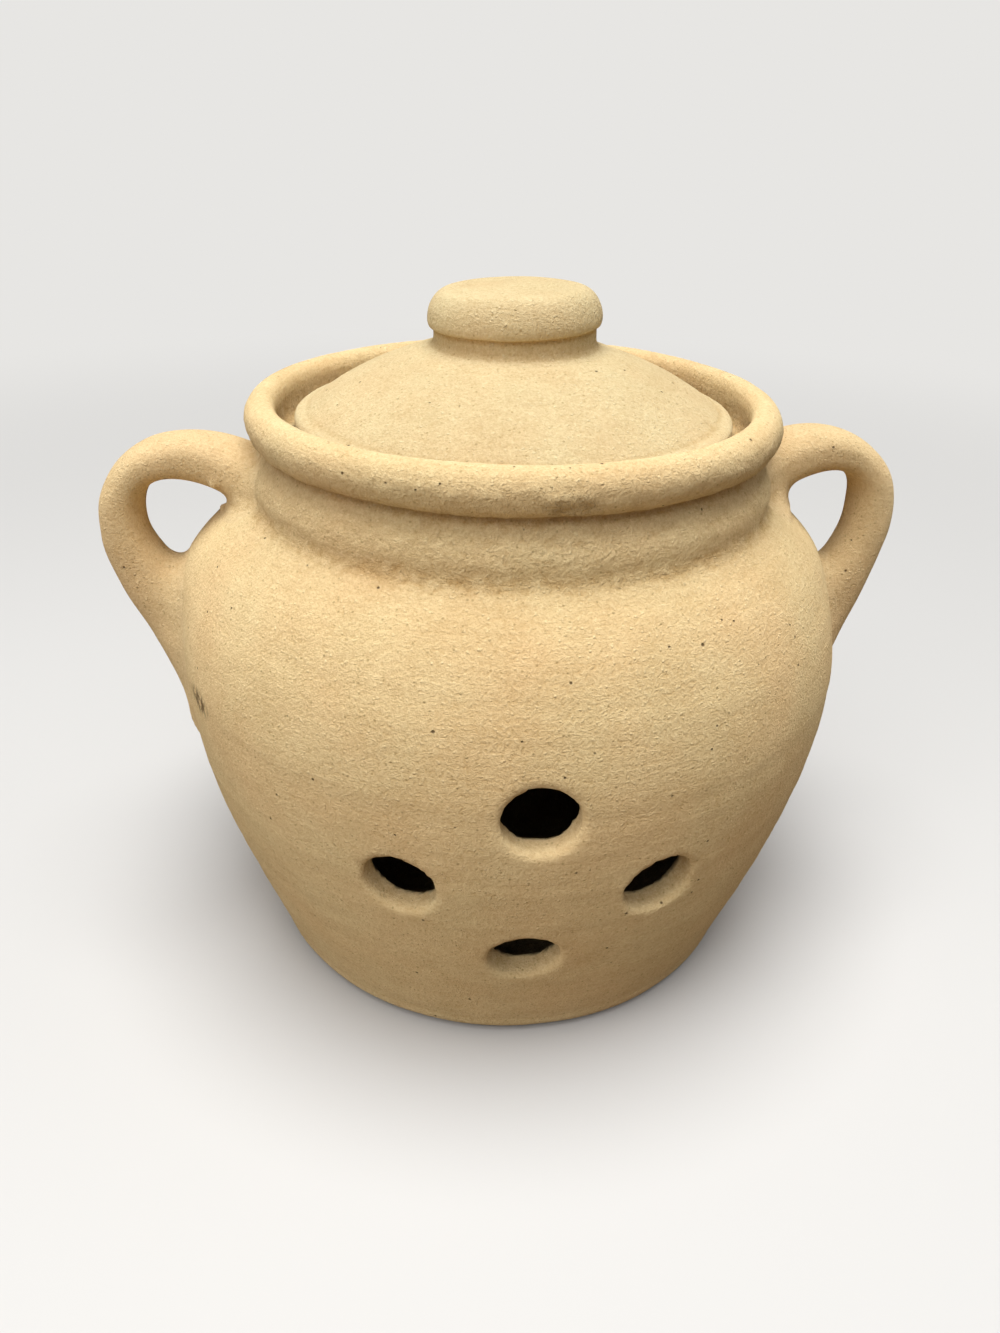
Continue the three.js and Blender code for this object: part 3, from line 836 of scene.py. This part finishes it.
def clay_colour(g, at, base, marks, streak):
    """The base colour, mottled by the patterns, lighter on worn edges, with painted shade in inner corners
    and the store, with grains and specks.
    """
    edge_wear_and_corner_shade = g.attribute("edge_wear_and_corner_shade")
    shade = g.total([
        *(g.span(marks[name], NOISE_LOW, NOISE_HIGH, -share, share) for name, share in SHADES.items()),
        g.span(marks["drag"], NOISE_LOW, NOISE_HIGH, -DRAG_SHADE * streak, DRAG_SHADE * streak),
        g.times(marks["dash"], DASH_SHADE * streak),
        g.times(marks["light"], LIGHT_SHADE),
        g.span(edge_wear_and_corner_shade, 0.0, 1.0, 0.0, EDGE_SHADE),
        # Painted shade in inner corners and creases
        g.span(edge_wear_and_corner_shade, *CORNER_RANGE, CORNER_PAINTED_SHADE, 0.0),
    ])
    bright = g.vector("ADD", g.scaled(GRAIN_SHARES, shade), (1, 1, 1))
    warm = g.span(g.noise(at, *WARM_NOISE), *WARM_RANGE)
    warmer = tuple(part * share for part, share in zip(base, WARM_SHARES))
    colour = g.vector("MULTIPLY", g.mix(warm, (*base, 1), (*warmer, 1)), bright)
    # Painted shade: the clay in the store is darkened
    colour = g.scaled(colour, g.span(g.attribute("store_painted_shade"), 0.0, 1.0, 1.0, STORE_PAINTED_SHADE))
    colour = g.mix(g.times(marks["dark"], DARK_MIX), colour, GRAIN_DARK)
    return g.mix(g.times(marks["speck"], SPECK_MIX), colour, SPECK_DARK)


def coarse_band(g, at, coarse):
    """Coarser crumbs between the shoulder and the rim, where the clay is dragged open."""
    level = g.add("ShaderNodeSeparateXYZ", None, i0=at).outputs[2]
    starts = g.span(level, ROUGH_LOW, ROUGH_LOW + ROUGH_FADE)
    ends = g.span(level, ROUGH_HIGH, ROUGH_HIGH - ROUGH_FADE)
    return g.times(g.times(g.noise(at, *CRUMB_NOISE), coarse), g.times(starts, ends))


def clay(name, base, streak=1.0, coarse=0.0, pits=(), scuff=None, torn=None):
    """Unglazed sandy clay: mottled, with grains, specks and drag marks; positions are in millimetres."""
    g = Graph(name)
    at = g.scaled(g.add("ShaderNodeTexCoord").outputs["Object"], 1 / MM)
    marks = clay_patterns(g, at, pits)
    colour = clay_colour(g, at, base, marks, streak)
    streaks = {"drag": streak, "dash": streak}
    lifts = {mark: lift * streaks.get(mark, 1) for mark, lift in CLAY_LIFTS.items()}
    height = g.total([g.times(marks[mark], lift) for mark, lift in lifts.items()])
    if coarse:
        height = g.math("ADD", height, coarse_band(g, at, coarse))
    if scuff:
        streaky = g.span(g.noise(g.stretch(at, SCUFF_STRETCH), *SCUFF_NOISE), *SCUFF_RANGE)
        ragged = g.times(stretched(g, at, *scuff, *SCUFF_EDGES), streaky)
        colour = g.mix(g.times(ragged, SCUFF_MIX), colour, SPECK_DARK)
    if torn:
        flake = g.span(g.noise(at, *FLAKE_NOISE), *FLAKE_RANGE)
        open_clay = g.times(stretched(g, at, *torn, *FLAKE_EDGES), flake)
        height = g.math("ADD", height, g.times(open_clay, FLAKE_LIFT))
    bump = g.add("ShaderNodeBump", None, Distance=BUMP_DEPTH * MM, Height=height).outputs[0]
    dry = g.span(marks["grain"], NOISE_LOW, NOISE_HIGH, *SKIN_ROUGHNESS)
    shader = g.add("ShaderNodeBsdfPrincipled", None, Base_Color=colour, Roughness=dry, Normal=bump)
    shader.inputs["Specular IOR Level"].default_value = SPECULAR
    shader.inputs["Diffuse Roughness"].default_value = DIFFUSE_ROUGHNESS
    g.add("ShaderNodeOutputMaterial", None, Surface=shader.outputs[0])
    return g.material


# Stage

def make_camera():
    across, above, ahead = camera_axes()
    data = bpy.data.cameras.new("camera")
    data.sensor_width = SENSOR
    data.lens = SENSOR * FOCAL_PX / FRAME_HEIGHT_PX
    data.clip_start = CLIP_START
    camera = bpy.data.objects.new("camera", data)
    turn = Matrix([tuple(axis) for axis in (across, above, -ahead)]).transposed().to_4x4()
    camera.matrix_world = Matrix.Translation(Vector(CAMERA_PLACE) * MM) @ turn
    bpy.context.scene.collection.objects.link(camera)
    bpy.context.scene.camera = camera


def make_light():
    aim = Vector((0, 0, LAMP_AIM_Z))
    for name, aside, up, watts in LAMPS:
        data = bpy.data.lights.new(name, "AREA")
        data.shape = "DISK"
        data.size = LAMP_SIZE
        data.energy = watts
        lamp = bpy.data.objects.new(name, data)
        turn, climb = math.radians(aside), math.radians(up)
        way = Vector((math.sin(turn) * math.cos(climb), -math.cos(turn) * math.cos(climb), math.sin(climb)))
        facing = way.to_track_quat("Z", "Y").to_matrix().to_4x4()
        lamp.matrix_world = Matrix.Translation(aim + LAMP_DISTANCE * way) @ facing
        bpy.context.scene.collection.objects.link(lamp)
    world = bpy.data.worlds.new("world")
    world.use_nodes = True
    nodes, links = world.node_tree.nodes, world.node_tree.links
    path = nodes.new("ShaderNodeLightPath")
    colour = nodes.new("ShaderNodeMix")
    colour.data_type = "RGBA"
    colour.inputs[6].default_value = (WORLD_LIGHT, WORLD_LIGHT, WORLD_LIGHT, 1)
    colour.inputs[7].default_value = PALE
    links.new(path.outputs["Is Camera Ray"], colour.inputs["Factor"])
    links.new(colour.outputs[2], nodes["Background"].inputs["Color"])
    bpy.context.scene.world = world


def make_floor():
    g = Graph("floor")
    seen = g.add("ShaderNodeLightPath").outputs["Is Camera Ray"]
    lit = g.add("ShaderNodeBsdfDiffuse", None, Color=g.mix(seen, FLOOR_BOUNCE, FLOOR_SEEN)).outputs[0]
    plain = g.add("ShaderNodeEmission", None, Color=PALE).outputs[0]
    at = g.add("ShaderNodeTexCoord").outputs["Object"]
    away = g.add("ShaderNodeVectorMath", {"operation": "LENGTH"}, i0=at).outputs["Value"]
    far = g.times(seen, g.span(away, FLOOR_FADE_START, FLOOR_FADE_END, smooth=True))
    shader = g.add("ShaderNodeMixShader", None, i0=far, i1=lit, i2=plain)
    g.add("ShaderNodeOutputMaterial", None, Surface=shader.outputs[0])
    mesh = bpy.data.meshes.new("floor")
    half = FLOOR_SIZE / 2
    corners = [(-half, -half, 0), (half, -half, 0), (half, half, 0), (-half, half, 0)]
    mesh.from_pydata(corners, [], [(0, 1, 2, 3)])
    mesh.materials.append(g.material)
    floor = bpy.data.objects.new("floor", mesh)
    bpy.context.scene.collection.objects.link(floor)


make_camera()
make_light()
make_floor()
bpy.context.scene.view_settings.view_transform = "Standard"

places = [tuple(place) for place in seen_at(pot_field, [*(pit[:2] for pit in PITS), SCUFF, TEAR])]
pits = [(place, size) for place, (_, _, size) in zip(places, PITS)]
scuff, torn = zip(places[len(PITS):], (SCUFF_SIZE, TEAR_SIZE))
body_clay = clay("bisque_body", BODY_BASE, BODY_STREAK, BODY_COARSE, pits, scuff, torn)
handle_clay = clay("bisque_handles", HANDLE_BASE, HANDLE_STREAK)
# The lid and knob take the body's clay with painted shade
shaded_lid_clay = clay("bisque_lids_painted_shade", LID_SHADED_BASE, LID_STREAK)

pot = clay_piece("thrown_pot", pot_field, POT_STEPS, body_clay, store_painted_shade)
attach(pot, "pot")
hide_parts("pot_body")

for label, side in (("left", -1), ("right", 1)):
    across = tuple(sorted(side * end for end in HANDLE_ENDS[0]))
    axes = even_axes((across, *HANDLE_ENDS[1:]), HANDLE_STEP)
    piece = clay_piece(label + "_pulled_handle", handle_field(side), axes, handle_clay)
    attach(piece, "pot")
    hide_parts(label + "_handle")

lid = clay_piece("domed_lid", lid_field, even_axes(LID_ENDS, LID_STEP), shaded_lid_clay)
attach(lid, "cover")
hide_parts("lid")

knob = clay_piece("disc_knob", knob_field, even_axes(KNOB_ENDS, KNOB_STEP), shaded_lid_clay)
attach(knob, "cover")
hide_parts("lid_knob")
